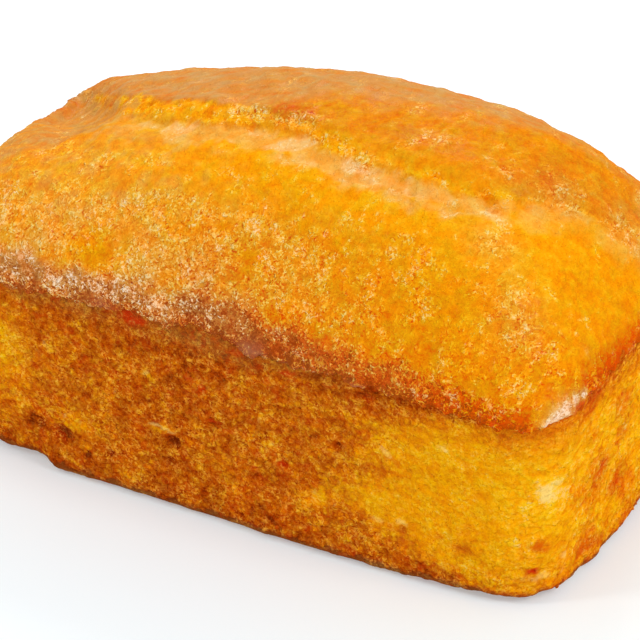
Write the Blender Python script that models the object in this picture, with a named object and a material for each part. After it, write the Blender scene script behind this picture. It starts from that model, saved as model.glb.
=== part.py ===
"""Cornbread loaf baked in a small loaf tin: drafted walls, an overhanging lip and a domed, split crust.

Units are metres, +Z is up, X runs along the loaf. The origin is the middle of the flat base.
"""
import math

import bmesh
import bpy
import numpy as np

MM = 0.001

# Tin-shaped body
RIM_LENGTH = 146.0 * MM
RIM_WIDTH = 79.0 * MM
RIM_HEIGHT = 53.3 * MM
RIM_CORNER_RADIUS = 12.0 * MM
BASE_LENGTH = 137.0 * MM
BASE_WIDTH = 66.2 * MM
BASE_CORNER_RADIUS = 12.5 * MM
BASE_EDGE_RADIUS = 4.0 * MM

# Lip of crust that swells over the rim
LIP_OVERHANG = 1.3 * MM
LIP_RADIUS = 5.0 * MM
LIP_WRAP = math.radians(118.0)
LIP_TUCK = 1.6 * MM
LIP_CORNER_DIP = 2.5 * MM
LIP_CORNER_REACH = 16.0 * MM
# Waves of the lip along the front: middle, reach and rise
LIP_WAVES = (
    (-50.0 * MM, 14.0 * MM, -1.2 * MM),
    (-29.0 * MM, 9.0 * MM, 1.3 * MM),
    (0.0 * MM, 8.0 * MM, 2.0 * MM),
    (14.0 * MM, 7.0 * MM, -1.2 * MM),
    (60.0 * MM, 34.0 * MM, -2.6 * MM),
)

# Domed top
CROWN_RISE = 28.8 * MM
CROWN_PEAK_X = 10.5 * MM
CROWN_PEAK_Y = 1.5 * MM
CROWN_POWER_X = 2.72
CROWN_POWER_Y = 2.97
CROWN_LEAN_X = 0.22
# Swells across the crown: middle along X, reach and rise
CROWN_SWELLS = (
    (-38.0 * MM, 20.0 * MM, -0.7 * MM),
    (2.0 * MM, 12.0 * MM, 0.6 * MM),
    (66.0 * MM, 20.0 * MM, 1.3 * MM),
)

# Split that runs along the crust and leaves a rear lobe standing a little higher
SPLIT_LINE_X = np.array([-74.0, -60.0, -46.0, -28.0, 0.0, 26.0, 42.0, 56.0, 72.0]) * MM
SPLIT_LINE_Y = np.array([31.0, 14.0, 0.0, -8.5, -11.5, -15.0, -13.0, -1.0, 17.0]) * MM
SPLIT_DEPTH = 1.9 * MM
SPLIT_HALF_WIDTH = 3.6 * MM
FRONT_LOBE_SINK = 1.1 * MM
FRONT_LOBE_REACH = 20.0 * MM
SPLIT_FADE_START_X = 40.0 * MM
SPLIT_FADE_END_X = 66.0 * MM
LEFT_NOTCH_DEPTH = 2.4 * MM
LEFT_NOTCH_REACH = 30.0 * MM
LEFT_NOTCH_START_X = -40.0 * MM
LEFT_NOTCH_FULL_X = -62.0 * MM

# Mesh density
TOP_CELLS_X = 40
TOP_CELLS_Y = 22
LIP_STEPS = 6
WALL_STEPS = 7
BASE_EDGE_STEPS = 4


def smooth_step(low, high, value):
    """Ease from 0 at low to 1 at high."""
    t = np.clip((value - low) / (high - low), 0.0, 1.0)
    return t * t * (3.0 - 2.0 * t)


def curve_through(position, stops, values):
    """Smooth curve through the values at the stops, as a cubic between each pair."""
    slopes = np.gradient(values, stops)
    i = int(np.clip(np.searchsorted(stops, position) - 1, 0, len(stops) - 2))
    gap = stops[i + 1] - stops[i]
    t = min(max((position - stops[i]) / gap, 0.0), 1.0)
    start = (2 * t**3 - 3 * t**2 + 1) * values[i] + (t**3 - 2 * t**2 + t) * gap * slopes[i]
    end = (3 * t**2 - 2 * t**3) * values[i + 1] + (t**3 - t**2) * gap * slopes[i + 1]
    return start + end


def outline_point(side, run, half_length, half_width, corner_radius):
    """Point of a rounded rectangle: run goes from -1 to 1 along one side, corner middle to corner middle."""
    along_x = side in ("front", "back")
    half_run, half_cross = (half_length, half_width) if along_x else (half_width, half_length)
    straight = half_run - corner_radius
    distance = abs(run) * (straight + corner_radius * math.pi / 4.0)
    turn = max(distance - straight, 0.0) / corner_radius
    along = math.copysign(min(distance, straight) + corner_radius * math.sin(turn), run)
    out = half_cross - corner_radius + corner_radius * math.cos(turn)
    places = {"front": (along, -out), "right": (out, along), "back": (-along, out), "left": (-out, -along)}
    return places[side]


def square_to_outline(s, t):
    """Side, run and share of the way out for a point of the square from -1 to 1."""
    share = max(abs(s), abs(t))
    if share < 1e-9:
        return "front", 0.0, 0.0
    if abs(t) >= abs(s):
        return ("front", s / share, share) if t < 0 else ("back", -s / share, share)
    return ("right", t / share, share) if s > 0 else ("left", -t / share, share)


def bumps(position, places):
    """Sum of rounded bumps, each with a middle, a reach and a rise."""
    return sum(rise * math.exp(-(((position - middle) / reach) ** 2)) for middle, reach, rise in places)


def rim_height(x, y):
    """Height of the rim line: it dips at the corners and waves along the front."""
    corner_x = np.clip((abs(x) - RIM_LENGTH / 2) / LIP_CORNER_REACH + 1.0, 0.0, 1.0)
    corner_y = np.clip((abs(y) - RIM_WIDTH / 2) / LIP_CORNER_REACH + 1.0, 0.0, 1.0)
    front = smooth_step(-RIM_WIDTH / 3, -RIM_WIDTH / 2, y)
    return RIM_HEIGHT - LIP_CORNER_DIP * corner_x * corner_y + front * bumps(x, LIP_WAVES)


def crown(x, y):
    """Rise of the dome above the rim: a flat-topped mound that leans towards the right end."""
    half_length = RIM_LENGTH / 2 + LIP_OVERHANG
    half_width = RIM_WIDTH / 2 + LIP_OVERHANG
    span_x = half_length - math.copysign(CROWN_PEAK_X, x - CROWN_PEAK_X)
    span_y = half_width - math.copysign(CROWN_PEAK_Y, y - CROWN_PEAK_Y)
    fall_x = max(1.0 - (abs(x - CROWN_PEAK_X) / span_x) ** CROWN_POWER_X, 0.0)
    fall_y = max(1.0 - (abs(y - CROWN_PEAK_Y) / span_y) ** CROWN_POWER_Y, 0.0)
    swell = bumps(x, CROWN_SWELLS) * math.sqrt(fall_x) * fall_y
    return CROWN_RISE * fall_x * fall_y * (1.0 + CROWN_LEAN_X * x / half_length) + swell


def split_relief(x, y):
    """Depth of the split, the sunken front lobe beside it and the notch at its left end."""
    away = y - curve_through(x, SPLIT_LINE_X, SPLIT_LINE_Y)
    groove = -SPLIT_DEPTH * math.exp(-((away / SPLIT_HALF_WIDTH) ** 2))
    front_side = smooth_step(SPLIT_HALF_WIDTH, -SPLIT_HALF_WIDTH, away)
    sink = -FRONT_LOBE_SINK * front_side * math.exp(-((away / FRONT_LOBE_REACH) ** 2))
    fade = 1.0 - 0.75 * smooth_step(SPLIT_FADE_START_X, SPLIT_FADE_END_X, x)
    left_end = smooth_step(LEFT_NOTCH_START_X, LEFT_NOTCH_FULL_X, x)
    notch = -LEFT_NOTCH_DEPTH * left_end * front_side * math.exp(-((away / LEFT_NOTCH_REACH) ** 2))
    inside = smooth_step(RIM_LENGTH / 2 + LIP_OVERHANG, RIM_LENGTH / 2 - LIP_RADIUS, abs(x))
    return ((groove + sink) * fade + notch) * inside


def top_height(x, y):
    """Height of the crust over a point of the plan."""
    return rim_height(x, y) + crown(x, y) + split_relief(x, y)


def wall_outline(side, run, height, outward=0.0):
    """Point of the drafted wall's outline at a height, moved outward by a distance."""
    share = height / RIM_HEIGHT
    half_length = (BASE_LENGTH + (RIM_LENGTH - BASE_LENGTH) * share) / 2 + outward
    half_width = (BASE_WIDTH + (RIM_WIDTH - BASE_WIDTH) * share) / 2 + outward
    radius = BASE_CORNER_RADIUS + (RIM_CORNER_RADIUS - BASE_CORNER_RADIUS) * share + 0.5 * outward
    return outline_point(side, run, half_length, half_width, radius)


def top_point(s, t):
    """Point of the crust for a point of the square, out to where the lip starts to turn down."""
    side, run, share = square_to_outline(s, t)
    x, y = wall_outline(side, run, RIM_HEIGHT, LIP_OVERHANG - LIP_RADIUS)
    x, y = x * share, y * share
    return x, y, top_height(x, y)


def lip_point(side, run, angle):
    """Point of the rounded lip, from its top at angle 0 to the underside."""
    outward = LIP_OVERHANG - LIP_RADIUS * (1.0 - math.sin(angle))
    x, y = wall_outline(side, run, RIM_HEIGHT, outward)
    return x, y, top_height(x, y) - LIP_RADIUS * (1.0 - math.cos(angle))


def wall_point(side, run, share):
    """Point of the wall, from just under the lip at share 0 to the top of the base edge at share 1."""
    _, _, lip_underside = lip_point(side, run, LIP_WRAP)
    height = (lip_underside - LIP_TUCK) * (1.0 - share) + BASE_EDGE_RADIUS * share
    x, y = wall_outline(side, run, height)
    return x, y, height


def base_edge_point(side, run, angle):
    """Point of the rounded bottom edge, from the wall at angle 0 to the flat base."""
    height = BASE_EDGE_RADIUS * (1.0 - math.sin(angle))
    x, y = wall_outline(side, run, height, -BASE_EDGE_RADIUS * (1.0 - math.cos(angle)))
    return x, y, height


def ring_places():
    """Function and its last value for every ring below the top sheet, in order down to the base."""
    lip = [(lip_point, LIP_WRAP * i / LIP_STEPS) for i in range(1, LIP_STEPS + 1)]
    wall = [(wall_point, i / WALL_STEPS) for i in range(WALL_STEPS + 1)]
    quarter = math.pi / 2.0
    edge = [(base_edge_point, quarter * i / BASE_EDGE_STEPS) for i in range(1, BASE_EDGE_STEPS + 1)]
    return lip + wall + edge


def extrude_ring(bm, edges):
    """Extrude a loop of edges in place and give the new loop's edges and where each new vertex came from."""
    old_verts = {vert for edge in edges for vert in edge.verts}
    result = bmesh.ops.extrude_edge_only(bm, edges=edges)
    new_verts = [item for item in result["geom"] if isinstance(item, bmesh.types.BMVert)]
    new_set = set(new_verts)
    new_edges = [item for item in result["geom"] if isinstance(item, bmesh.types.BMEdge)]
    new_edges = [edge for edge in new_edges if edge.verts[0] in new_set and edge.verts[1] in new_set]
    source = {}
    for vert in new_verts:
        neighbours = [edge.other_vert(vert) for edge in vert.link_edges]
        source[vert] = next(near for near in neighbours if near in old_verts)
    return new_edges, source


def build_loaf_mesh(name):
    """Closed loaf: a grid shaped into the crust, loops extruded down its rim, and one flat base face."""
    bm = bmesh.new()
    bmesh.ops.create_grid(bm, x_segments=TOP_CELLS_X, y_segments=TOP_CELLS_Y, size=1.0)
    square = {vert: (vert.co.x, vert.co.y) for vert in bm.verts}
    edges = [edge for edge in bm.edges if edge.is_boundary]
    for vert, (s, t) in square.items():
        vert.co = top_point(s, t)
    for place, value in ring_places():
        edges, source = extrude_ring(bm, edges)
        for vert, old_vert in source.items():
            square[vert] = square[old_vert]
            side, run, _ = square_to_outline(*square[vert])
            vert.co = place(side, run, value)
    bmesh.ops.contextual_create(bm, geom=edges)
    bmesh.ops.recalc_face_normals(bm, faces=bm.faces)
    mesh = bpy.data.meshes.new(name)
    bm.to_mesh(mesh)
    bm.free()
    return mesh


def make_material(name, colour, roughness):
    """Plain Principled material of one colour."""
    material = bpy.data.materials.new(name)
    material.use_nodes = True
    shader = material.node_tree.nodes["Principled BSDF"]
    shader.inputs["Base Color"].default_value = (*colour, 1.0)
    shader.inputs["Roughness"].default_value = roughness
    return material


def clear_scene():
    """Remove whatever stands in the scene."""
    for obj in list(bpy.data.objects):
        bpy.data.objects.remove(obj, do_unlink=True)


def main():
    """Build the loaf in its own collection."""
    clear_scene()
    collection = bpy.data.collections.new("cornbread")
    bpy.context.scene.collection.children.link(collection)
    mesh = build_loaf_mesh("cornbread_loaf")
    mesh.materials.append(make_material("baked_crust", (0.78, 0.34, 0.03), 0.45))
    loaf = bpy.data.objects.new("cornbread_loaf", mesh)
    collection.objects.link(loaf)


main()
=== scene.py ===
"""Cornbread loaf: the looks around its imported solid.

The script is laid out as an add-on and run as a script. One operator makes each piece: the crust with
its rolled lip and split, the body of crumb under it, and the crumbs that cling to the sides. One more
makes the studio.
Units are metres, and millimetres where a table or a docstring says so. +Z is up, X runs along the loaf,
and the origin is the middle of the flat base.
"""

import math

import bpy
import numpy as np
from bpy.props import FloatProperty, FloatVectorProperty, IntProperty, PointerProperty
from mathutils import Matrix, Vector


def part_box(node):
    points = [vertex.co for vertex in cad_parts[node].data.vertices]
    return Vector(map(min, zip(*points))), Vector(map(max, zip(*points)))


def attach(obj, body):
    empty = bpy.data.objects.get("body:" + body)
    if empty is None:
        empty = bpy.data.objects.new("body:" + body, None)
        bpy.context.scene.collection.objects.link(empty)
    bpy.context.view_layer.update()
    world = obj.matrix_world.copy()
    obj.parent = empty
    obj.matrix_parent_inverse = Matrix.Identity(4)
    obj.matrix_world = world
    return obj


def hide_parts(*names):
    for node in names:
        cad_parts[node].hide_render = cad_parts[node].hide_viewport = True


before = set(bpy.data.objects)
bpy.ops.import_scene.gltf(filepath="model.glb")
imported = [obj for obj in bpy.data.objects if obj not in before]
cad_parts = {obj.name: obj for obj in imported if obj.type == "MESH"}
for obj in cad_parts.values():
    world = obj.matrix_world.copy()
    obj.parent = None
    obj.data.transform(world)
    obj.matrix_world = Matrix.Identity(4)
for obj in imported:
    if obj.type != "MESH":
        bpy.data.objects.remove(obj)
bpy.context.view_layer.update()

bl_info = {
    "name": "Cornbread Loaf",
    "version": (1, 0, 0),
    "blender": (4, 5, 0),
    "location": "View3D > Sidebar > Loaf",
    "description": "Crust, crumb, clinging crumbs and studio of a small cornbread loaf",
    "category": "Object",
}

MM = 0.001
NODE = "cornbread_loaf"
BODY = "root"
LOAF_LOW, LOAF_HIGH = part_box(NODE)

# The tables of rows below are in millimetres, and an amount of 1 is the full effect

# Waves of the rim along the front: middle, reach and rise
RIM_WAVES = (
    (-54.0, 14.0, -0.8),
    (-3.0, 9.0, 1.9),
    (14.0, 7.0, -0.8),
    (48.0, 26.0, -2.4),
)
# Places along the front where the lip's edge is notched: middle, reach and rise
LIP_NOTCHES = (
    (-38.0, 2.4, 1.3),
    (-29.0, 4.0, -0.5),
    (-20.5, 2.2, 1.4),
    (7.0, 3.0, -0.6),
)
# Swells across the crown: middle along X, reach and rise
CROWN_SWELLS = (
    (-66.0, 9.0, 1.6),
    (-38.0, 20.0, -0.7),
    (2.0, 12.0, 0.6),
    (66.0, 20.0, 1.3),
)
# Course of the split over the crust, along the foot of its scarp, from the left edge to the right end
SPLIT_X = np.array([-74.0, -60.0, -48.0, -36.0, -20.0, 0.0, 14.0, 30.0, 44.0, 54.0, 72.0]) * MM
SPLIT_Y = np.array([31.0, 15.0, 2.5, -5.5, -9.0, -10.0, -14.0, -14.0, -12.0, -2.5, 17.0]) * MM
# Widths of the bare strip behind it, up to the torn edge, and of the pale band before it
STRIP_WIDTH = np.array([1.5, 2.2, 3.6, 4.8, 4.8, 2.2, 1.8, 1.2, 1.0, 1.0, 1.0]) * MM
BAND_WIDTH = np.array([7.0, 8.0, 10.0, 10.0, 6.5, 7.5, 6.0, 6.0, 5.5, 9.0, 9.0]) * MM
# Edge of the yellow part of the front wall: height, and how far along X it starts
YELLOW_EDGE_Z = np.array([0.0, 6.0, 14.0, 20.0, 27.0, 38.0, 44.0, 48.0]) * MM
YELLOW_EDGE_X = np.array([58.0, 50.0, 24.0, 28.0, 36.0, 37.0, 48.0, 76.0]) * MM

# Soft marks: place along and up (across, on the top), reach along and up, and amount
# The table's dark marks at the open pits in TOP_PITS are painted shade in them
TOP_TONES = (
    (-3.0, -4.5, 4.5, 2.6, -0.17),
    (-54.0, -8.0, 5.0, 6.0, -0.08),
    (-53.0, 8.0, 1.4, 1.1, -0.30),
    (-38.0, -1.0, 1.6, 1.2, -0.24),
    (-33.0, -1.2, 1.6, 1.3, -0.26),
    (-27.5, -2.6, 1.5, 1.1, -0.26),
    (-20.3, -6.6, 1.2, 1.6, -0.26),
    (-14.0, -7.0, 3.0, 0.8, -0.16),
    (-8.5, -9.6, 1.8, 0.8, -0.16),
    (46.0, -12.0, 1.8, 1.3, -0.22),
    (31.5, -17.6, 0.9, 0.8, -0.12),
    (-15.0, -18.5, 2.0, 1.2, -0.08),
    (-3.0, -20.5, 4.0, 1.4, -0.06),
    (20.0, -7.0, 9.0, 3.0, -0.05),
    (50.0, 3.0, 3.0, 6.0, -0.07),
    (-4.0, -36.5, 12.0, 4.0, -0.07),
)
TOP_PALES = (
    (2.0, -14.0, 8.5, 3.8, 0.20),
    (14.0, -16.4, 5.5, 2.6, 0.20),
    (23.0, -17.6, 6.2, 3.2, 0.22),
    (34.0, -17.2, 6.0, 3.0, 0.20),
    (44.0, -14.0, 5.5, 2.8, 0.18),
    (-13.5, -12.4, 7.0, 3.8, 0.26),
    (-24.0, -10.4, 5.0, 2.2, 0.12),
    (-32.0, -8.6, 5.0, 2.6, 0.10),
    (-43.0, -1.5, 6.0, 3.4, 0.15),
    (54.0, -7.0, 4.0, 4.0, 0.08),
    (58.0, 3.0, 2.6, 5.0, 0.12),
)
# Whitish painted glints in curled marks on the top
GLINT_CURL_MARKS = (
    (54.0, 1.5, 4.5, 5.0, 1.0),
    (63.0, 9.0, 4.0, 5.0, 0.7),
    (50.0, -20.0, 5.0, 4.0, 0.6),
    (60.0, -28.0, 5.0, 5.0, 0.6),
    (20.0, -15.5, 4.0, 2.5, 0.8),
    (28.0, -18.0, 3.0, 2.0, 0.7),
    (47.0, -4.0, 5.0, 3.0, 0.5),
    (0.0, -7.0, 6.0, 2.5, 0.8),
    (-12.0, -6.5, 5.0, 1.5, 0.6),
    (30.0, -4.0, 9.0, 4.0, 0.4),
)
# Pinkish white painted highlights on the lip, with darker spots and shifts of its own tone
LIP_HIGHLIGHTS_AND_TONES = (
    (-36.0, 51.0, 3.2, 2.0, 0.12),
    (-46.0, 54.5, 4.0, 1.0, 0.10),
    (-12.0, 52.0, 4.0, 2.0, 0.14),
    (1.0, 52.5, 3.6, 1.8, 0.14),
    (23.5, 49.8, 1.3, 0.8, 0.40),
    (44.5, 49.6, 0.9, 0.9, 0.25),
    (-1.5, 49.3, 0.9, 0.7, -0.35),
    (-28.5, 50.0, 1.0, 0.7, -0.15),
    (70.5, 48.5, 2.4, 2.6, 0.30),
    (14.0, 54.0, 8.0, 3.0, -0.08),
    (59.0, 50.5, 9.0, 2.6, 0.04),
    (36.0, 50.0, 7.0, 2.6, 0.04),
)
# Grey-violet painted sheen in patches low on the front lip
GREY_SHEEN_MARKS = (
    (8.0, 48.0, 2.6, 2.2, 0.9),
    (15.0, 46.0, 5.0, 1.0, 0.7),
    (30.0, 46.2, 6.0, 1.1, 0.9),
    (-15.5, 46.6, 4.0, 1.2, 1.0),
    (-26.0, 48.5, 2.6, 2.2, 0.5),
)
PALE_MARKS = (
    (-16.0, 20.2, 3.6, 0.7, 0.75),
    (-35.0, 15.5, 1.6, 2.2, 0.35),
    (-38.6, 15.8, 1.3, 1.0, 0.45),
    (-18.0, 33.0, 1.3, 1.1, 0.5),
    (8.0, 30.0, 0.9, 1.2, 0.5),
    (10.0, 24.6, 1.1, 0.8, 0.6),
    (19.5, 15.4, 1.6, 0.9, 0.45),
    (24.0, 13.5, 1.0, 0.8, 0.45),
    (34.0, 13.2, 2.2, 0.9, 0.5),
    (38.5, 14.8, 1.4, 1.0, 0.75),
    (49.5, 37.0, 1.4, 1.1, 0.7),
    (36.2, 31.4, 0.7, 0.8, 0.7),
    (54.0, 35.0, 2.2, 0.8, 0.3),
    (66.5, 7.0, 3.0, 1.6, 0.5),
    (-26.0, 26.0, 1.0, 0.7, 0.4),
    (-42.0, 33.0, 1.1, 0.8, 0.35),
    (3.0, 36.5, 1.2, 0.6, 0.35),
)
# The table's dark marks at the open pits in FRONT_PITS are painted shade in them
WALL_TONES = (
    (-55.0, 29.0, 8.0, 14.0, 0.18),
    (-6.0, 41.0, 12.0, 3.0, -0.05),
    (49.0, 44.5, 10.0, 2.2, 0.10),
    (56.0, 6.0, 12.0, 2.6, -0.04),
    (-36.0, 14.5, 3.4, 3.0, 0.19),
    (-39.5, 11.2, 2.8, 1.6, -0.15),
    (-46.5, 12.0, 3.0, 2.4, -0.11),
    (-28.5, 9.5, 1.5, 1.2, -0.14),
    (-34.0, 7.5, 0.9, 0.8, -0.20),
    (-18.0, 33.0, 1.8, 1.4, 0.13),
    (8.0, 30.0, 1.2, 1.4, 0.11),
    (-16.0, 20.0, 4.0, 0.9, 0.22),
    (-2.0, 16.0, 5.0, 4.0, 0.06),
    (10.0, 24.6, 1.2, 1.0, 0.16),
    (20.0, 15.0, 2.0, 2.4, 0.12),
    (34.0, 13.0, 2.5, 1.8, 0.10),
    (38.5, 14.6, 1.3, 1.1, 0.18),
    (49.5, 36.2, 1.3, 1.1, 0.18),
    (36.5, 31.0, 0.8, 0.9, 0.18),
    (52.0, 12.0, 3.4, 1.6, -0.14),
    (9.5, 6.0, 1.6, 1.2, -0.18),
    (47.0, 13.6, 1.3, 0.9, -0.10),
    (69.0, 29.0, 1.2, 3.2, 0.24),
    (-10.0, 26.0, 17.0, 22.0, -0.05),
)
RED_MARKS = (
    (-38.0, 46.8, 1.6, 1.3, 0.9),
    (-20.0, 46.4, 2.9, 1.7, 1.6),
    (-5.5, 33.5, 1.5, 1.2, 0.8),
    (-8.0, 35.6, 1.3, 1.2, 0.8),
    (12.5, 20.5, 1.6, 1.3, 0.7),
    (14.5, 43.6, 3.0, 0.9, 0.7),
    (3.0, 44.6, 3.4, 1.0, 0.6),
    (-4.0, 25.6, 3.0, 0.9, 0.6),
    (-24.0, 39.0, 1.6, 1.0, 0.5),
    (-32.0, 29.5, 1.4, 1.1, 0.5),
    (22.0, 34.0, 1.6, 1.2, 0.5),
    (5.0, 17.0, 1.4, 1.0, 0.5),
    (67.0, 15.0, 2.0, 2.6, 0.75),
    (65.5, 8.5, 1.1, 1.0, 1.1),
)
# The same on the near end: place across and up
END_REDS = (
    (-9.0, 23.0, 4.5, 3.2, 0.55),
    (-2.0, 16.0, 3.5, 3.0, 0.5),
    (-14.0, 6.5, 4.0, 2.0, 0.45),
    (-6.0, 38.0, 5.0, 3.0, 0.25),
    (-20.0, 36.0, 2.6, 2.4, 0.30),
)
# Open pits in the front wall where bubbles broke: place along X, height, radius and depth
FRONT_PITS = (
    (-13.0, 17.5, 1.7, 1.0),
    (-19.0, 18.2, 1.4, 0.4),
    (-39.5, 11.2, 2.6, 0.6),
    (-46.0, 12.0, 2.6, 0.4),
    (-28.5, 9.5, 1.4, 0.5),
    (-2.5, 25.4, 1.6, 0.5),
    (0.5, 13.2, 0.7, 0.5),
    (12.5, 20.5, 1.3, 0.6),
    (18.0, 19.0, 0.9, 0.5),
    (20.0, 29.5, 1.1, 0.7),
    (25.5, 29.0, 1.3, 0.6),
    (33.0, 9.8, 0.8, 0.5),
    (39.0, 12.5, 1.2, 0.6),
    (64.0, 9.5, 0.8, 0.4),
    (4.5, 42.0, 0.7, 0.5),
)
# Open pits on the top: place in plan, radius and depth
TOP_PITS = (
    (-38.0, -1.5, 1.5, 0.8),
    (-30.0, -3.8, 1.3, 0.6),
    (-19.0, -7.5, 1.5, 0.7),
    (-8.5, -9.6, 1.2, 0.6),
    (46.0, -12.0, 1.9, 0.9),
    (31.5, -17.6, 0.9, 0.4),
    (31.0, 0.5, 0.9, 0.4),
)
# Cream dabs on the near corner: a point near the surface, and reach
CREAM_DABS = (
    (68.9, -32.0, 30.4, 0.7),
    (68.8, -32.0, 29.0, 0.9),
    (68.7, -32.0, 27.4, 0.9),
    (68.6, -32.0, 26.0, 0.6),
    (70.5, -28.6, 30.4, 1.1),
    (70.8, -27.2, 31.6, 1.0),
    (71.2, -25.4, 22.6, 0.8),
    (70.6, -25.2, 15.0, 1.0),
    (69.9, -23.4, 9.8, 1.3),
)
# Pale curling painted glints on the shoulder of the near end, in the same way
LIP_GLINT_MARKS = (
    (71.5, -21.6, 56.1, 1.3),
    (72.8, -25.2, 53.2, 0.9),
    (73.9, -21.4, 50.9, 1.2),
    (73.4, -28.6, 51.4, 1.0),
)
# Near corner of the front wall, and the pinkish painted highlight along the lip there, in the same way
NEAR_CORNER = ((72.0, -34.0, 30.0, 17.0),)
LIP_CORNER_HIGHLIGHT = (
    (71.4, -36.2, 47.6, 1.7),
    (72.3, -34.6, 48.8, 2.1),
    (73.0, -32.6, 49.8, 2.2),
    (73.6, -30.0, 50.3, 1.6),
    (73.9, -27.0, 50.4, 1.1),
)


# ---------------------------------------------------------------- settings


def length_setting(name, description, default):
    """Setting of a size, its default given in millimetres."""
    return FloatProperty(
        name=name, description=description, default=default * MM, unit="LENGTH", precision=5)


def colour_setting(name, description, default):
    """Setting of a colour."""
    return FloatVectorProperty(
        name=name, description=description, default=default, subtype="COLOR", size=3, min=0.0, max=1.0)


class LoafSizes(bpy.types.PropertyGroup):
    """Driving sizes of the loaf's form."""

    rim_height: length_setting("Rim height", "Height where the crust starts to overhang the walls", 53.3)
    rim_corner: length_setting("Rim corner radius", "Rounding of the walls' corners at the rim", 12.0)
    base_length: length_setting("Base length", "Length of the flat base", 137.0)
    base_width: length_setting("Base width", "Width of the flat base", 66.2)
    base_corner: length_setting("Base corner radius", "Rounding of the walls' corners at the base", 12.5)
    base_edge: length_setting("Base edge radius", "Rounding between the walls and the base", 2.8)
    lip_overhang: length_setting("Lip overhang", "How far the lip stands out past the walls", 1.3)
    lip_radius: length_setting("Lip radius", "Roundness of the rolled lip", 4.2)
    crown_rise: length_setting("Crown rise", "Height of the domed top above the rim", 28.8)
    split_depth: length_setting("Split depth", "Depth of the split that runs along the crust", 1.2)


class CrustLook(bpy.types.PropertyGroup):
    """Relief and colours of the crust, its colours from the darkest hollow to the palest fleck."""

    cell: length_setting("Mesh cell", "Spacing of the crust's mesh", 0.44)
    swell: length_setting("Swell", "Height of the broad unevenness", 0.35)
    lump: length_setting("Lumps", "Height of the lumps a few millimetres across", 0.24)
    pebble: length_setting("Pebbles", "Height of the fine pebbled grain", 0.12)
    scorched: colour_setting("Scorched", "Darkest gaps", (0.36, 0.060, 0.002))
    amber: colour_setting("Amber", "Deep orange of the browned edge", (0.68, 0.079, 0.001))
    orange: colour_setting("Orange", "Orange of the hollows on the top", (0.72, 0.218, 0.002))
    golden: colour_setting("Golden", "Main colour of the top", (0.85, 0.335, 0.002))
    butter: colour_setting("Butter", "Light yellow of raised grains", (0.90, 0.44, 0.009))
    cream: colour_setting("Cream", "Palest flecks", (0.90, 0.56, 0.10))
    # Row of the painted grazing sheen on the rear lobe and the left shoulder: the next three colours
    sienna: colour_setting("Sienna", "Hollows of the dusty upper crust", (0.60, 0.18, 0.008))
    dust: colour_setting("Dust", "Main colour of the dusty upper crust", (0.55, 0.260, 0.070))
    bran: colour_setting("Bran", "Light grains of the dusty upper crust", (0.67, 0.38, 0.12))
    # Row of the painted sheen on the lip, up to its pinkish white painted glints; pale patches use it too
    umber: colour_setting("Umber", "Dark gaps of the dry lip", (0.29, 0.046, 0.004))
    tan: colour_setting("Tan", "Main colour of the dry lip", (0.60, 0.228, 0.043))
    sheen_white: colour_setting("Chalk", "Pinkish white flecks of the dry lip", (0.97, 0.65, 0.42))
    # Painted sheen: grey-violet patches low on the front lip
    ash: colour_setting("Ash", "Dull brown-violet smears under the lip", (0.44, 0.175, 0.090))


class CrumbLook(bpy.types.PropertyGroup):
    """Relief and colours of the crumb baked against the tin, from the darkest gap to the palest dab."""

    cell: length_setting("Mesh cell", "Spacing of the crumb's mesh", 0.49)
    grain: length_setting("Grain", "Height of the crumb's grains", 0.34)
    pore: length_setting("Pores", "Depth of the open bubbles", 0.5)
    stray_count: IntProperty(
        name="Stray crumbs", description="How many crumbs cling to the walls", default=900)
    stray_low: length_setting("Smallest stray", "Radius of the smallest clinging crumb", 0.2)
    stray_high: length_setting("Largest stray", "Radius of the largest clinging crumb", 0.6)
    gap: colour_setting("Gap", "Darkest gaps and the crusty bottom edge", (0.19, 0.020, 0.001))
    rust: colour_setting("Rust", "Red-brown of the pores", (0.40, 0.055, 0.001))
    toasted: colour_setting("Toasted", "Main colour of the toasted wall", (0.58, 0.135, 0.003))
    honey: colour_setting("Honey", "Between toasted and yellow", (0.76, 0.25, 0.002))
    yellow: colour_setting("Yellow", "Main colour of the light wall", (0.90, 0.385, 0.0015))
    butter: colour_setting("Butter", "Light yellow near the corner", (0.95, 0.50, 0.009))
    cream: colour_setting("Cream", "Soft pale dabs and grains", (0.94, 0.60, 0.15))
    # Painted glints: thin pale strokes over the wall's grains
    wall_glint: colour_setting("Husk", "Thin pale strokes over the grains", (0.90, 0.43, 0.070))
    # Painted shade: olive brown laid on the wall under the lip; the darkest foot takes it too
    dull: colour_setting("Dull", "Olive brown in the shade under the lip", (0.34, 0.120, 0.022))
    red: colour_setting("Red", "Orange-red spots", (0.58, 0.032, 0.003))


class StudioLook(bpy.types.PropertyGroup):
    """Camera and floor."""

    azimuth: FloatProperty(
        name="Azimuth", description="Camera's turn round the loaf from straight in front",
        default=math.radians(28.91), subtype="ANGLE")
    elevation: FloatProperty(
        name="Elevation", description="Camera's angle above the floor",
        default=math.radians(30.74), subtype="ANGLE")
    distance: length_setting("Distance", "Camera's distance from the point it looks at", 1056.0)
    lens: FloatProperty(
        name="Lens", description="Focal length in millimetres", default=291.2)
    floor_size: length_setting("Floor size", "Side of the square floor", 7000.0)


# ---------------------------------------------------------------- noise


# Largest whole number of the hash, and the twelve slopes of the noise: from the middle of a cube to the
# middles of its edges
HASH_TOP = 0xFFFFFFFF
EDGE_DIRECTIONS = np.array(
    [(a, b, 0) for a in (-1, 1) for b in (-1, 1)]
    + [(a, 0, b) for a in (-1, 1) for b in (-1, 1)]
    + [(0, a, b) for a in (-1, 1) for b in (-1, 1)],
    float,
)


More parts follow.
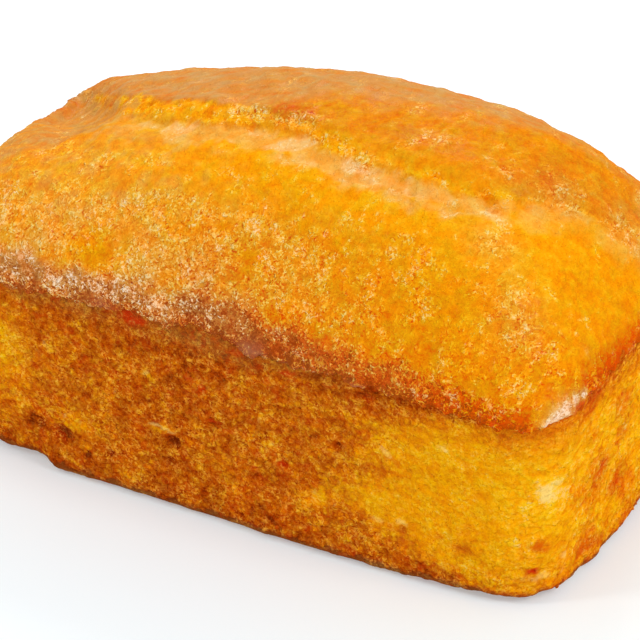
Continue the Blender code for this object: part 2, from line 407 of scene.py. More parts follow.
def lattice_hash(i, j, k, salt):
    """Whole number for each lattice cell: indices times large primes, joined and mixed by shifts."""
    mixed = (i * 73856093 ^ j * 19349663 ^ k * 83492791 ^ salt * 40503101) & HASH_TOP
    for _ in range(2):
        mixed = ((mixed ^ (mixed >> 16)) * 73244475) & HASH_TOP
    return mixed ^ (mixed >> 16)


def lattice_unit(i, j, k, salt):
    """Number from 0 to 1 for each lattice cell."""
    return lattice_hash(i, j, k, salt) / HASH_TOP


def noise(points, size, salt):
    """Gradient noise from about -1 to 1: random slopes on a lattice of a size in millimetres.

    Between lattice points the slopes are joined by the quintic ease.
    """
    scaled = points / (size * MM)
    cell = np.floor(scaled).astype(np.int64)
    part = scaled - cell
    blend = part**3 * (part * (part * 6.0 - 15.0) + 10.0)
    shares = np.stack([1.0 - blend, blend])
    total = np.zeros(len(points))
    for a, b, c in np.ndindex(2, 2, 2):
        slope = EDGE_DIRECTIONS[lattice_hash(*(cell + (a, b, c)).T, salt) % len(EDGE_DIRECTIONS)]
        weight = shares[a, :, 0] * shares[b, :, 1] * shares[c, :, 2]
        total += weight * np.einsum("ij,ij->i", slope, part - (a, b, c))
    return total * 1.5


def layered_noise(points, size, octaves, salt):
    """Sum of gradient noises, each half the size and half the height of the one before."""
    total = np.zeros(len(points))
    for octave in range(octaves):
        total += noise(points, size / 2**octave, salt + octave) / 2**octave
    return total


def warp(points, size, amount, salt):
    """Points moved by three gradient noises, so that a pattern bends. Size and amount in millimetres."""
    moves = [noise(points, size, salt + axis) for axis in range(3)]
    return points + amount * MM * np.stack(moves, axis=1)


def scattered(points, size, salt):
    """The lattice cells round each point, one after the other: the cell, and the way to the spot in it.

    Each cell holds one spot at a random place. The way is counted in cells.
    """
    scaled = points / size
    cell = np.floor(scaled).astype(np.int64)
    part = scaled - cell
    for index in np.ndindex(3, 3, 3):
        step = np.array(index) - 1
        place = cell + step
        spot = [lattice_unit(*place.T, salt + axis) for axis in range(3)]
        yield place, np.stack(spot, axis=1) + step - part


def cell_distances(points, size, salt):
    """Distances to the nearest and second nearest of scattered spots, counted in cells."""
    nearest = np.full(len(points), 9.0)
    second = np.full(len(points), 9.0)
    for _, way in scattered(points, size * MM, salt):
        distance = np.sqrt(np.einsum("ij,ij->i", way, way))
        second = np.minimum(second, np.maximum(nearest, distance))
        nearest = np.minimum(nearest, distance)
    return nearest, second


def scattered_pits(points, spacing, small, large, share, salt):
    """Depth from 0 to 1 of round pits: a share of the lattice cells holds one, of a radius of its own.

    The spacing of the cells and the radii, from small to large, are in millimetres.
    """
    spacing, small, large = spacing * MM, small * MM, large * MM
    depth = np.zeros(len(points))
    for place, way in scattered(points, spacing, salt):
        way = way * spacing
        held = lattice_unit(*place.T, salt + 3) < share
        radius = small + (large - small) * lattice_unit(*place.T, salt + 4) ** 2
        reach = np.einsum("ij,ij->i", way, way) / radius**2
        depth = np.maximum(depth, np.clip(1.0 - reach, 0.0, 1.0) * held * (radius / large))
    return depth


# ---------------------------------------------------------------- form


def smooth_step(low, high, value):
    """Ease from 0 at low to 1 at high: three squares of the share between them, less twice its cube."""
    t = np.clip((value - low) / (high - low), 0.0, 1.0)
    return t * t * (3.0 - 2.0 * t)


def ease(low, high, value):
    """The same ease between ends given in millimetres."""
    return smooth_step(low * MM, high * MM, value)


def hump(value, middle, reach):
    """Rounded bump exp(-((value - middle) / reach)^2), its middle and reach in millimetres."""
    return np.exp(-(((value - middle * MM) / (reach * MM)) ** 2))


def bumps(position, places):
    """Sum of humps, each with a middle, a reach and a rise."""
    return sum(rise * MM * hump(position, middle, reach) for middle, reach, rise in places)


def near(points, places):
    """Largest of the soft spots round given places: exp(-(distance / reach)^2) of each."""
    spots = []
    for *place, reach in places:
        away = points - np.array(place) * MM
        spots.append(np.exp(-(away**2).sum(axis=1) / (reach * MM) ** 2))
    return np.max(spots, axis=0)


def marks(along, up, places):
    """Sum of soft oval marks: amount times exp(-(along / reach)^2 - (up / reach)^2) of each."""
    total = np.zeros(len(along))
    for middle, height, reach_along, reach_up, amount in places:
        along_share = (along / MM - middle) / reach_along
        up_share = (up / MM - height) / reach_up
        total += amount * np.exp(-(along_share**2) - up_share**2)
    return total


def crisp(value, edge):
    """Soft marks given a firm ragged outline: 0 below about a third, full above about a half."""
    return value * smooth_step(0.30, 0.52, value + 0.22 * edge)


def bowls(along, up, places):
    """Depth of open pits, each a bowl 1 - (distance / radius)^2."""
    depth = np.zeros(len(along))
    for middle, height, radius, deep in places:
        reach = ((along - middle * MM) ** 2 + (up - height * MM) ** 2) / (radius * MM) ** 2
        depth = np.maximum(depth, deep * MM * np.clip(1.0 - reach, 0.0, 1.0))
    return depth


def curve_through(position, stops, values):
    """Smooth curve through the values at the stops.

    Between each pair it is the cubic with their values and with slopes taken from their neighbours.
    """
    slopes = np.gradient(values, stops)
    i = np.clip(np.searchsorted(stops, position) - 1, 0, len(stops) - 2)
    gap = stops[i + 1] - stops[i]
    t = np.clip((position - stops[i]) / gap, 0.0, 1.0)
    start = (2 * t**3 - 3 * t**2 + 1) * values[i] + (t**3 - 2 * t**2 + t) * gap * slopes[i]
    end = (3 * t**2 - 2 * t**3) * values[i + 1] + (t**3 - t**2) * gap * slopes[i + 1]
    return start + end


def rounded_outline(side, run, half_length, half_width, radius):
    """Rounded rectangle: run goes from -1 to 1 along each side, from corner middle to corner middle.

    Up to the end of the straight the point follows the side; past it, it turns round the corner by
    distance over radius. Sides count 0 front, 1 right, 2 back, 3 left.
    """
    along_x = side % 2 == 0
    straight = np.where(along_x, half_length, half_width) - radius
    across = np.where(along_x, half_width, half_length)
    distance = np.abs(run) * (straight + radius * math.pi / 4.0)
    turn = np.maximum(distance - straight, 0.0) / radius
    along = np.sign(run) * (np.minimum(distance, straight) + radius * np.sin(turn))
    out = across - radius + radius * np.cos(turn)
    x = np.choose(side, [along, out, -along, -out])
    y = np.choose(side, [-out, along, out, -along])
    return x, y


def square_to_outline(s, t):
    """Side, run and share of the way out for points of the square from -1 to 1.

    The share is the larger of the two distances from the middle, and the run the smaller over it.
    """
    share = np.maximum(np.maximum(np.abs(s), np.abs(t)), 1e-9)
    side = np.where(np.abs(t) >= np.abs(s), np.where(t < 0, 0, 2), np.where(s > 0, 1, 3))
    run = np.choose(side, [s, t, -s, -t]) / share
    return side, run, share


def half_rim(size):
    """Half the length and width of the walls' outline at the rim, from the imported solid's box."""
    half_length = (LOAF_HIGH.x - LOAF_LOW.x) / 2.0 - size.lip_overhang
    half_width = (LOAF_HIGH.y - LOAF_LOW.y) / 2.0 - size.lip_overhang
    return half_length, half_width


def rim_height(x, y, size):
    """Height of the rim line: it dips at the corners and waves along the front."""
    half_length, half_width = half_rim(size)
    reach = 16.0 * MM
    corner_x = np.clip((np.abs(x) - half_length) / reach + 1.0, 0.0, 1.0)
    corner_y = np.clip((np.abs(y) - half_width) / reach + 1.0, 0.0, 1.0)
    front = smooth_step(-half_width / 1.5, -half_width, y)
    return size.rim_height - 2.5 * MM * corner_x * corner_y + front * bumps(x, RIM_WAVES)


def lip_radius(x, size):
    """Roundness of the lip: the rolled edge is tighter towards the right end."""
    return size.lip_radius * (1.0 - 0.2 * ease(5.0, 50.0, x))


def crown(x, y, size):
    """Rise of the dome above the rim: a flat-topped mound that leans towards the right end.

    Along and across the loaf it falls as 1 - (distance from the peak / span)^power.
    """
    half_length, half_width = (half + size.lip_overhang for half in half_rim(size))
    peak_x, peak_y = 10.5 * MM, 1.5 * MM
    span_x = half_length - np.where(x > peak_x, peak_x, -peak_x)
    span_y = half_width - np.where(y > peak_y, peak_y, -peak_y)
    fall_x = np.maximum(1.0 - (np.abs(x - peak_x) / span_x) ** 2.72, 0.0)
    fall_y = np.maximum(1.0 - (np.abs(y - peak_y) / span_y) ** 2.97, 0.0)
    swell = bumps(x, CROWN_SWELLS) * np.sqrt(fall_x) * fall_y
    return size.crown_rise * fall_x * fall_y * (1.0 + 0.22 * x / half_length) + swell


def split_distance(x, y):
    """How far a place lies behind the ragged line of the split."""
    plan = np.stack([x, y, np.zeros(len(x))], axis=1)
    ragged = 1.1 * MM * noise(plan, 7.0, 11) + 0.7 * MM * noise(plan, 2.6, 12)
    return y - curve_through(x, SPLIT_X, SPLIT_Y) + ragged


def split_relief(x, away, size):
    """Depth of the split, as a sum of humps and steps over the distance behind its line.

    It has the groove, the sunken front lobe, the scarp with the torn edge behind it, and the notch at
    its left end.
    """
    groove_reach = 4.2
    half_length = half_rim(size)[0] + size.lip_overhang
    strip = curve_through(x, SPLIT_X, STRIP_WIDTH)
    groove = -size.split_depth * hump(away, -1.6, groove_reach)
    front_side = ease(groove_reach, -groove_reach, away)
    sink = -1.1 * MM * front_side * hump(away, 0.0, 20.0)
    scarp = 0.4 * MM * ease(-0.8, 0.8, away)
    torn = 0.6 * MM * ease(-0.8, 0.8, away - strip)
    lift = (scarp + torn) * hump(np.maximum(away, 0.0), 0.0, 9.0)
    fade = 1.0 - 0.65 * ease(40.0, 66.0, x)
    left_end = ease(-40.0, -62.0, x)
    notch = -4.3 * MM * left_end * hump(away, -8.0, 11.0)
    notch = notch + 1.0 * MM * left_end * hump(away, -31.0, 8.0)
    inside = smooth_step(half_length, half_length - 5.0 * MM, np.abs(x))
    lift = lift * (1.0 - left_end) * (1.0 - 0.8 * ease(2.0, 22.0, x))
    groove = groove * (1.0 - 0.7 * left_end)
    return ((groove + sink + lift) * fade + notch) * inside


def top_height(x, y, size):
    """Height of the crust over a place of the plan."""
    return rim_height(x, y, size) + crown(x, y, size) + split_relief(x, split_distance(x, y), size)


def wall_outline(side, run, height, size, outward=0.0):
    """Place on the drafted wall's outline at a height, moved outward by a distance.

    Half sizes and corner radius go evenly with the height from the base's to the rim's.
    """
    half_length, half_width = half_rim(size)
    share = height / size.rim_height
    long_half = size.base_length / 2 + (half_length - size.base_length / 2) * share + outward
    wide_half = size.base_width / 2 + (half_width - size.base_width / 2) * share + outward
    radius = size.base_corner + (size.rim_corner - size.base_corner) * share + 0.5 * outward
    return rounded_outline(side, run, long_half, wide_half, radius)


def foot_swell(x, y):
    """How far the wall bulges outward near its foot: humps and steps along the front and the near end."""
    front = 0.9 * hump(x, 13.0, 22.0) * ease(-20.0, -30.0, y)
    end = ease(50.0, 62.0, x)
    far = 0.9 * hump(y, 1.0, 7.0) + 1.1 * hump(y, -9.0, 4.0)
    left = -2.4 * ease(-40.5, -52.0, x) * ease(-10.0, -30.0, y)
    return (front + end * far + left) * MM


def foot_lift(x, y):
    """How far the bottom edge curls up: most at the left of the front, past a step."""
    front = ease(-18.0, -27.0, y)
    left = 0.5 * ease(-42.0, -49.0, x)
    right = 0.7 * ease(36.0, 58.0, x)
    return (left + right) * front * MM


# ---------------------------------------------------------------- mesh helpers


def ring_quads(rings):
    """Faces between rows of point numbers, each row a closed loop running anticlockwise from above."""
    upper, lower = rings[:-1], rings[1:]
    corners = [lower, np.roll(lower, -1, axis=1), np.roll(upper, -1, axis=1), upper]
    return np.stack(corners, axis=-1).reshape(-1, 4)


def fan(ring, pole, upward):
    """Triangles between a closed ring and its pole, facing up or down."""
    ahead = np.roll(ring, -1)
    poles = np.full(len(ring), pole)
    order = [ring, ahead, poles] if upward else [ahead, ring, poles]
    return np.stack(order, axis=-1)


def vertex_normals(points, quads):
    """Unit normals at the points: the sum of the crossed diagonals of the quads around each."""
    first, second, third, fourth = (points[corner] for corner in quads.T)
    cross = np.cross(third - first, fourth - second)
    sums = []
    for axis in range(3):
        weights = np.repeat(cross[:, axis], 4)
        sums.append(np.bincount(quads.ravel(), weights, minlength=len(points)))
    normals = np.stack(sums, axis=1)
    return normals / np.maximum(np.linalg.norm(normals, axis=1, keepdims=True), 1e-12)


def link_object(name, data):
    """New object of this data in the scene."""
    made = bpy.data.objects.new(name, data)
    bpy.context.scene.collection.objects.link(made)
    return made


def add_piece(name, points, quads, triangles, masks, material):
    """Smooth mesh object from arrays, with a number for each point under each mask's name."""
    corners = np.concatenate([quads.ravel(), triangles.ravel()]).astype(np.int32)
    totals = np.concatenate([np.full(len(quads), 4), np.full(len(triangles), 3)])
    starts = (np.cumsum(totals) - totals).astype(np.int32)
    mesh = bpy.data.meshes.new(name)
    mesh.vertices.add(len(points))
    mesh.vertices.foreach_set("co", points.astype(np.float32).ravel())
    mesh.loops.add(len(corners))
    mesh.loops.foreach_set("vertex_index", corners)
    mesh.polygons.add(len(totals))
    mesh.polygons.foreach_set("loop_start", starts)
    mesh.update(calc_edges=True)
    mesh.shade_smooth()
    for mask, values in masks.items():
        attribute = mesh.attributes.new(mask, "FLOAT", "POINT")
        attribute.data.foreach_set("value", values.astype(np.float32))
    if mesh.validate():
        raise RuntimeError(f"{name} had faces that Blender had to mend")
    mesh.materials.append(material)
    return link_object(name, mesh)


def settle(piece):
    """Fix a finished piece to the loaf's body, in place of its plain solid."""
    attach(piece, BODY)
    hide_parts(NODE)


# ---------------------------------------------------------------- shader maths

# Patterns are drawn out a little across the loaf, as the batter spread towards its sides
PATTERN_SCALE = (1.0, 0.78, 1.0)
# Numbers of the colour Mix node's sockets
MIX_FACTOR = 0
MIX_A = 6
MIX_B = 7
MIX_RESULT = 2


class Term:
    """A socket that can stand in an expression; each operation adds one Math node."""

    def __init__(self, shade, socket):
        self.shade = shade
        self.socket = socket

    def math(self, operation, *values):
        """Math node of this operation on the given values."""
        return self.shade.node("ShaderNodeMath", {"operation": operation}, dict(enumerate(values)))

    def __add__(self, other):
        return self.math("ADD", self, other)

    __radd__ = __add__

    def __sub__(self, other):
        return self.math("SUBTRACT", self, other)

    def __rsub__(self, other):
        return self.math("SUBTRACT", other, self)

    def __mul__(self, other):
        return self.math("MULTIPLY", self, other)

    __rmul__ = __mul__

    def __abs__(self):
        return self.math("ABSOLUTE", self)

    def between(self, low, high):
        """Ease from 0 where the value is low to 1 where it is high."""
        settings = {"interpolation_type": "SMOOTHSTEP"}
        inputs = {0: self, 1: low, 2: high, 3: 0.0, 4: 1.0}
        return self.shade.node("ShaderNodeMapRange", settings, inputs)


class Shade:
    """A new material's nodes. Sizes of patterns are in millimetres."""

    def __init__(self, name):
        self.material = bpy.data.materials.new(name)
        self.material.use_nodes = True
        self.nodes = self.material.node_tree.nodes
        self.links = self.material.node_tree.links
        self.principled = self.nodes["Principled BSDF"]
        place = self.node("ShaderNodeTexCoord", {}, {}, "Object")
        self.place = self.node("ShaderNodeMapping", {}, {"Vector": place, "Scale": PATTERN_SCALE})

    def node(self, kind, settings, inputs, output=0):
        """Any node: its settings first, then its sockets' values or links; gives one output."""
        node = self.nodes.new(kind)
        for key, value in settings.items():
            if key == "stops":
                self.set_stops(node.color_ramp.elements, value)
            else:
                setattr(node, key, value)
        for key, value in inputs.items():
            self.feed(node.inputs[key], value)
        return Term(self, node.outputs[output])

    def feed(self, socket, value):
        """Link a term to a socket, or set its value."""
        if isinstance(value, Term):
            self.links.new(value.socket, socket)
        elif socket.type == "RGBA":
            socket.default_value = (*value, 1.0)
        else:
            socket.default_value = value

    def set_stops(self, elements, colours):
        """Spread colours evenly over a ramp, from 0 to 1."""
        while len(elements) < len(colours):
            elements.new(1.0)
        for i, colour in enumerate(colours):
            elements[i].position = i / (len(colours) - 1)
            elements[i].color = (*colour, 1.0)

    def ramp(self, value, *colours):
        """Colour at a value from 0 to 1 along a row of colours."""
        return self.node("ShaderNodeValToRGB", {"stops": colours}, {"Fac": value}, "Color")

    def mask(self, name):
        """The piece's own number of this name."""
        return self.node("ShaderNodeAttribute", {"attribute_name": name}, {}, "Fac")

    def mix(self, a, b, factor):
        """Colour a where the factor is 0 and colour b where it is 1."""
        settings = {"data_type": "RGBA"}
        return self.node("ShaderNodeMix", settings, {MIX_A: a, MIX_B: b, MIX_FACTOR: factor}, MIX_RESULT)

    def tint(self, colour, low, high, factor):
        """Colour times a tint that runs from low, where the factor is 0, to high."""
        inputs = {0: colour, 1: self.mix(low, high, factor)}
        return self.node("ShaderNodeVectorMath", {"operation": "MULTIPLY"}, inputs)

    def grain(self, size, detail=2.0, distortion=0.0, roughness=0.5):
        """Noise from 0 to 1 whose largest lumps are about this size."""
        inputs = {"Vector": self.place, "Scale": 1.0 / (size * MM), "Detail": detail}
        inputs.update({"Roughness": roughness, "Distortion": distortion})
        return self.node("ShaderNodeTexNoise", {}, inputs, "Fac")

    def ridge(self, value, middle, width):
        """1 where the value is at the middle, easing to 0 past the width on both sides."""
        return 1.0 - abs(value - middle).between(0.0, width)

    def strokes(self, size, width):
        """Short winding strokes: a light one and the dark one beside it, broken by a second noise."""
        line = self.grain(size, 1.0, 1.1)
        part = self.grain(0.62 * size, 0.0).between(0.45, 0.56)
        light = self.ridge(line, 0.5 + 0.8 * width, width) * part
        dark = self.ridge(line, 0.5 - 0.8 * width, width) * part
        return light, dark

    def pebbles(self, size, wobble):
        """Distance from the middles of scattered pebbles of wobbling outline, as a share of their size."""
        inputs = {"Vector": self.place, "Scale": 1.3 / (size * MM), "Detail": 1.0}
        bend = self.node("ShaderNodeTexNoise", {}, inputs, "Color")
        inputs = {0: bend, 1: (wobble * size * MM,) * 3, 2: self.place}
        place = self.node("ShaderNodeVectorMath", {"operation": "MULTIPLY_ADD"}, inputs)
        inputs = {"Vector": place, "Scale": 1.0 / (size * MM)}
        return self.node("ShaderNodeTexVoronoi", {"feature": "F1"}, inputs, "Distance")

    def finish(self, values, bump=()):
        """Set the shader's sockets, and its normal from bumps given as (height, distance) pairs."""
        for height, distance in bump:
            inputs = {"Height": height, "Distance": distance * MM, "Strength": 1.0}
            if "Normal" in values:
                inputs["Normal"] = values["Normal"]
            values["Normal"] = self.node("ShaderNodeBump", {}, inputs)
        for key, value in values.items():
            self.feed(self.principled.inputs[key], value)
        return self.material


# Tints that make patches of the same lightness redder or yellower
REDDER = (1.04, 0.91, 0.75)
YELLOWER = (0.96, 1.07, 1.20)


# ---------------------------------------------------------------- crust

# How far the lip rolls round, and by how much each hidden ring under it shrinks from the one before
LIP_WRAP = math.radians(165.0)
CLOSING_RINGS = (0.7, 0.35)
# Up to this share of the roll a place counts as the top
TOP_TURN = 0.1
# The masks that the crust's material reads
CRUST_MASKS = ("tone", "contrast", "dry", "dust", "brown", "speckle", "gloss", "ash")


def crust_material(look):
    """Moist baked crust: one tone from dark gap to pale fleck, in a moist row of colours, a row for the
    painted sheen on the lip and a row for the painted grazing sheen.

    Clusters of short pale strokes with a dark one beside each are painted highlights with painted shade
    beside them, and make it look crackled and sugary. Pebbles are painted lighter in the middle.
    """
    shade = Shade("baked_crust")
    tone, contrast, dry, dust, brown, speckle, gloss, ash = map(shade.mask, CRUST_MASKS)
    clouds = shade.grain(7.0, 2.0)
    patches = shade.grain(2.3, 1.0, 0.3)
    fine = shade.grain(0.5, 1.0, 0.3, 0.7)
    reach = shade.pebbles(1.5, 0.8)
    light, dark = shade.strokes(1.45, 0.11)
    small_light, small_dark = shade.strokes(0.85, 0.12)
    cluster = ((clouds + patches - 1.0) * 1.8 + speckle * 0.82).between(0.15, 0.85)
    shown = cluster * 0.8 + 0.2
    # Painted highlight strokes, each with a stroke of painted shade beside it
    strokes = (light * 0.30 + small_light * 0.44 - dark * 0.20 - small_dark * 0.22) * shown
    # Random tone, and painted shade towards the pebbles' edges
    shift = (clouds - 0.5) * 0.20 + (patches - 0.5) * 0.36 + (fine - 0.5) * 0.33 + (0.45 - reach) * 0.12
    value = tone + (shift + strokes) * contrast
    moist_colour = shade.ramp(
        value, look.scorched, look.amber, look.orange, look.golden, look.butter, look.cream
    )
    # Colours of the painted grazing sheen over the rear lobe and the left shoulder
    sheen_colour = shade.ramp(value, look.sienna, look.dust, look.bran)
    # Colours of the painted sheen on the lip and of the pale patches by the split
    sheen_and_pale_colour = shade.ramp(value, look.umber, look.tan, look.sheen_white)
    # Share of the painted grazing sheen, thinned where highlight strokes lie
    sheen_share = dust * (1.0 - (light + small_light) * shown * 0.4)
    # Grey-violet painted sheen in patches low on the lip, with no coat there
    grey_sheen_patch = ash * (0.6 + (patches - 0.5) * 1.8)
    colour = shade.mix(shade.mix(moist_colour, sheen_colour, sheen_share), sheen_and_pale_colour, dry)
    # Painted glints: whitish flecks among the speckles
    painted_glint = (small_light + light * 0.5) * (clouds + patches - 1.0).between(0.08, 0.28) * speckle
    colour = shade.mix(shade.mix(colour, look.scorched, brown), look.sheen_white, painted_glint * 0.5)
    warmth = (shade.grain(3.4, 2.0, 0.5) - 0.5) * contrast - sheen_share * 0.05
    colour = shade.tint(colour, REDDER, YELLOWER, warmth.between(-0.13, 0.13))
    colour = shade.mix(colour, look.ash, grey_sheen_patch)
    glint = (fine + (patches - 0.5) * 0.5).between(0.61, 0.70)
    dome = 1.0 - reach.between(0.05, 0.62)
    return shade.finish(
        {
            "Base Color": colour,
            "Roughness": 0.6 - glint * 0.2,
            "Specular IOR Level": 0.0,
            "Coat Weight": (glint * cluster * 0.25 + gloss) * (1.0 - ash),
            "Coat Roughness": 0.18,
        },
        [
            (dome * shown, 0.22),
            (patches, 0.35),
            (light + small_light, 0.06),
            (fine, 0.16),
        ],
    )


def crust_rows(size, look):
    """Points and faces of the crust before its relief, and how far round the lip's roll each point is.

    The top sheet is a grid on the square, carried out to the rounded outline where the lip turns down.
    From its edge, rings roll round the lip by an angle and on under it, then close in on a hidden pole.
    The lip's edge waves in and out and up and down, most where it hangs lowest.
    """
    half_length, half_width = half_rim(size)
    cells_x = int(round(2.0 * half_length / look.cell))
    cells_y = int(round(2.0 * half_width / look.cell))
    s, t = np.meshgrid(np.linspace(-1, 1, cells_x + 1), np.linspace(-1, 1, cells_y + 1), indexing="ij")
    side, run, share = square_to_outline(s.ravel(), t.ravel())
    rim_x, rim_y = wall_outline(side, run, size.rim_height, size)
    radius = lip_radius(rim_x, size)
    x, y = wall_outline(side, run, size.rim_height, size, size.lip_overhang - radius)
    sheet = np.stack([x * share, y * share, top_height(x * share, y * share, size)], axis=1)
    index = np.arange(len(sheet)).reshape(s.shape)
    corners = [index[:-1, :-1], index[1:, :-1], index[1:, 1:], index[:-1, 1:]]
    sheet_quads = np.stack(corners, axis=-1).reshape(-1, 4)
    edge = np.concatenate([index[:-1, 0], index[-1, :-1], index[:0:-1, -1], index[0, :0:-1]])
    side, run, radius = side[edge], run[edge], radius[edge]
    rim = np.stack([rim_x[edge], rim_y[edge], np.zeros(len(edge))], axis=1)
    droop = 0.5 * MM * layered_noise(rim, 8.0, 2, 17) + 0.45 * MM * layered_noise(rim, 2.6, 2, 19)
    droop = droop + bumps(rim[:, 0], LIP_NOTCHES) * (rim[:, 1] < 0.0)
    puff = 0.35 * MM * layered_noise(rim, 9.0, 2, 18) + 0.3 * MM * layered_noise(rim, 2.8, 2, 20)
    steps = int(round(size.lip_radius * LIP_WRAP / look.cell))
    rows, turn = [], []
    for angle in np.linspace(0.0, LIP_WRAP, steps + 1)[1:]:
        hang = smooth_step(0.2 * LIP_WRAP, 0.6 * LIP_WRAP, angle)
        outward = size.lip_overhang - radius * (1.0 - math.sin(angle)) + puff * hang
        x, y = wall_outline(side, run, size.rim_height, size, outward)
        z = top_height(x, y, size) - radius * (1.0 - math.cos(angle)) + droop * hang
        rows.append(np.stack([x, y, z], axis=1))
        turn.append(np.full(len(edge), angle / LIP_WRAP))
    for inset in CLOSING_RINGS:
        rows.append(rows[-1] * (inset, inset, 1.0))
        turn.append(np.ones(len(edge)))
    pole = np.array([[0.0, 0.0, rows[-1][:, 2].mean()]])
    points = np.concatenate([sheet, *rows, pole])
    turns = np.concatenate([np.zeros(len(sheet)), *turn, [1.0]])
    rings = np.arange(len(rows) * len(edge)).reshape(len(rows), -1) + len(sheet)
    quads = np.concatenate([sheet_quads, ring_quads(np.vstack([edge, rings]))])
    return points, quads, fan(rings[-1], len(points) - 1, False), turns


def crust_masks(points, turn, size):
    """Numbers over the crust: tone, its contrast, and the shares of each look from 0 to 1.

    Tone counts from 0, darkest, to 1, palest; it carries painted shade and painted highlights in places.
    The looks are the painted sheen on the lip with its painted highlights and the pale patches by the
    split, speckle, gloss, the painted grazing sheen, brown, the grey-violet painted sheen low on the lip,
    the bare strip behind the split and the pale band before it. Each region adds its share, faded by
    smooth steps and humps along the loaf, across it, down the lip and away from the split.
    """
    x, y, z = points.T
    half_length, half_width = half_rim(size)
    # Uneven edges, and the regions: behind the split, along the loaf, across it and down the lip
    ragged = layered_noise(points, 8.0, 3, 21)
    blotch = layered_noise(warp(points, 5.0, 1.5, 27), 4.0, 2, 23)
    jitter = 0.8 * MM * layered_noise(points, 2.4, 2, 25)
    away = split_distance(x, y) + 0.4 * MM * noise(points, 1.2, 13)
    strip = curve_through(x, SPLIT_X, STRIP_WIDTH)
    band = curve_through(x, SPLIT_X, BAND_WIDTH) + 2.2 * MM * blotch
    reached = 17.0 * MM * ease(-20.0, -50.0, x)
    front = ease(-4.0, -30.0, y - reached)
    back = ease(16.0, 34.0, y)
    low_front = ease(-22.0, -34.0, y + 3.0 * MM * ragged)
    lip_left = ease(34.0, -14.0, x + 5.0 * MM * ragged)
    lip_middle = ease(58.0, 36.0, x)
    left = ease(48.0, -10.0, x + 6.0 * MM * ragged)
    far_left = ease(-28.0, -52.0, x)
    dark_lip = ease(-14.0, -6.0, x) * ease(26.0, 16.0, x)
    lip = smooth_step(0.12, 0.38, turn + 0.07 * ragged)
    hem = smooth_step(0.34, 0.56, turn + 0.07 * ragged)
    on_front = (y < -30.0 * MM) * smooth_step(0.0, 0.15, turn)
    out = np.maximum(np.abs(x) / half_length, np.abs(y) / half_width)
    shoulder = smooth_step(0.78, 1.0, out)
    on_top = turn < TOP_TURN

    # What lies there: bare strip, pale band, painted grazing sheen on the rear and the left, and specks
    # with their named painted glints and the painted highlight at the lip's near corner
    bare = ease(-0.6, 0.6, away) * ease(0.6, -0.5, away - strip)
    broken = smooth_step(-0.35, 0.1, blotch + 0.2)
    bare = bare * np.maximum(broken, ease(-26.0, -16.0, x))
    pale = ease(-1.6, 1.2, away + band) * ease(0.7, -0.5, away)
    rear = ease(-0.5, 0.8, away - strip)
    # Painted shadow: a dark line along the foot of the split's scarp
    scarp_shadow = hump(away, 0.0, 0.5) * ease(66.0, 40.0, x) * (1.0 - far_left)
    # Painted sheen along the far edge of the top, where it turns away
    rear_rim = 0.8 * smooth_step(0.80, 0.93, out + 0.03 * ragged) * ease(4.0, 14.0, y)
    # Painted grazing sheen over the rear lobe, behind a line that runs back towards the right
    rear_from = 4.0 * MM + 0.2 * x + 11.0 * MM * ease(30.0, 58.0, x)
    rear_sheen = ease(-9.0, 5.0, y - rear_from + 2.5 * MM * blotch)
    rear_sheen = rear * np.clip(rear_sheen + ease(3.0, -17.0, x + 3.0 * MM * blotch), 0.06, 1.0)
    rear_sheen = rear_sheen * (1.0 - 0.7 * ease(18.0, 30.0, y + 3.0 * MM * ragged))
    rear_sheen = np.maximum(rear_sheen, rear_rim * (turn < 0.3))
    # Painted grazing sheen over the left of the top, joined with the rear's below
    sheen_edge = x + 46.0 * MM - 0.9 * y + 5.0 * MM * ragged
    dust = ease(10.0, -6.0, sheen_edge) + 0.25 * ease(-4.0, -44.0, x)
    dust = dust + 0.3 * smooth_step(-0.1, 0.5, blotch) * ease(8.0, -28.0, x)
    dust = np.minimum(dust, 1.0) * (1.0 - lip * ease(-16.0, -30.0, y))
    dust = dust * ease(-37.0, -25.0, y + 3.0 * MM * blotch)
    streak = layered_noise(points * (0.3, 1.0, 1.0), 2.6, 3, 39)
    torn = hump(away, 1.0, 5.0) * ease(-50.0, -30.0, x)
    rear_sheen = rear_sheen * (1.0 - 0.75 * torn * ease(-26.0, -10.0, x + 4.0 * MM * ragged))
    dust = 0.8 * dust * (1.0 - 0.9 * np.maximum(torn * broken, bare))
    dust = np.maximum(rear_sheen, dust) * np.clip(0.9 + 0.35 * streak, 0.5, 1.0)
    brown = 0.2 * rear * (1.0 - rear_sheen) + 0.08 * pale
    patch = layered_noise(warp(points, 6.0, 2.5, 35), 6.5, 2, 29)
    patch = smooth_step(-0.15, 0.5, patch) * (1.0 - 0.6 * ease(42.0, 56.0, x))
    field = hump(x, 18.0, 32.0) * hump(y, -21.0, 5.0)
    speckle = front * ease(0.0, -6.0, away + band) * (1.0 - 0.95 * field)
    speckle = speckle * (0.40 + 0.43 * left * (0.3 + 0.7 * low_front) + 0.4 * ragged)
    speckle = np.clip(speckle + lip * (0.25 + 0.75 * left + 0.3 * lip_middle), 0.0, 1.0)
    # Painted glints: named curled marks on the top
    glints = marks(x + jitter, y + jitter, GLINT_CURL_MARKS) * on_top
    # Painted highlight on the lip at the near corner
    corner_highlight = near(points, LIP_CORNER_HIGHLIGHT)
    # Painted glints on the near end's shoulder, broken up by noise
    flakes = smooth_step(-0.3, 0.3, layered_noise(points, 1.6, 2, 33))
    corner_glints = near(points, LIP_GLINT_MARKS) * flakes
    speckle = speckle + glints + corner_highlight + corner_glints + 0.15 * low_front + 0.4 * bare + 0.35 * pale * patch
    speckle = speckle + rear * (0.3 * np.clip(ragged, 0.0, 1.0) + 0.6 * back)
    speckle = np.clip(speckle, 0.0, 1.0)

